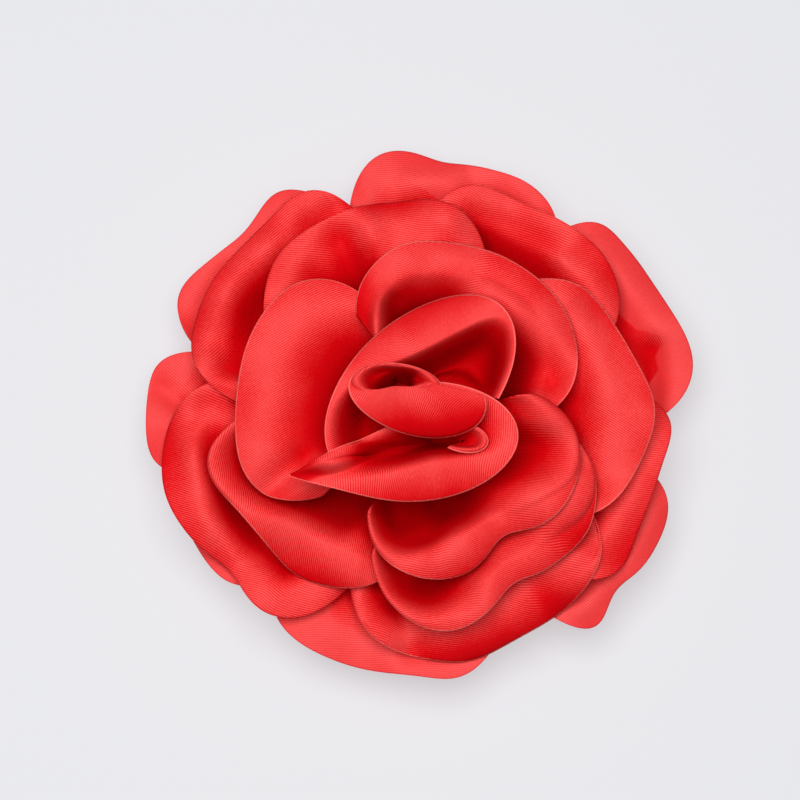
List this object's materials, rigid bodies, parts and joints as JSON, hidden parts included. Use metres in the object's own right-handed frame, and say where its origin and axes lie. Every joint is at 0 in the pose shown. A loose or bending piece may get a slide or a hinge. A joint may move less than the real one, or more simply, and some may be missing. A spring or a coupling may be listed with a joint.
{
  "type": "flower hair clip",
  "caption": "Red satin fabric rose on a felt-backed disc, with a sprung metal beak clip behind it for holding hair.",
  "frame": {"origin": "middle of the clip's flat underside, straight below the flower's axis", "axes": "+Z along the flower's axis towards its face, +X towards the clip's tip, +Y across the clip"},
  "size_m": [0.1099, 0.1072, 0.0506],
  "materials": {
    "satin_red": "satin",
    "felt_red": "matte",
    "buckram_red": "matte",
    "set_glue": "satin",
    "clip_steel": "gloss",
    "spring_steel": "satin"
  },
  "bodies": {
    "flower": {"petal_bud_core": "satin_red", "petal_bud_curl": "satin_red", "petal_bud_fold": "satin_red", "petal_bud_front": "satin_red", "petal_bud_roll": "satin_red", "petal_inner_left": "satin_red", "petal_inner_lower_left": "satin_red", "petal_inner_lower_right": "satin_red", "petal_inner_right": "satin_red", "petal_inner_top": "satin_red", "petal_inner_under_right": "satin_red", "petal_middle_bottom": "satin_red", "petal_middle_far_left": "satin_red", "petal_middle_lower_left": "satin_red", "petal_middle_right": "satin_red", "petal_middle_upper_left": "satin_red", "petal_middle_upper_right": "satin_red", "petal_outer_bottom": "satin_red", "petal_outer_left": "satin_red", "petal_outer_lower_left": "satin_red", "petal_outer_lower_right": "satin_red", "petal_outer_top": "satin_red", "petal_outer_upper_left": "satin_red", "petal_outer_upper_right": "satin_red", "felt_back": "felt_red", "petal_base": "buckram_red", "glue_pad": "set_glue", "clip_fixed_jaw": "clip_steel", "clip_pin": "clip_steel", "clip_spring": "spring_steel"},
    "moving_jaw": {"clip_moving_jaw": "clip_steel"}
  },
  "joints": [
    {"name": "jaw_hinge", "type": "hinge", "parent": "flower", "child": "moving_jaw", "pos_m": [-0.008, 0, 0.00375], "axis": [0, 1, 0], "range_deg": [0, 22], "stiffness_Nm_per_rad": 0.06, "springref_deg": -28.65, "deforming": ["clip_spring"]}
  ]
}
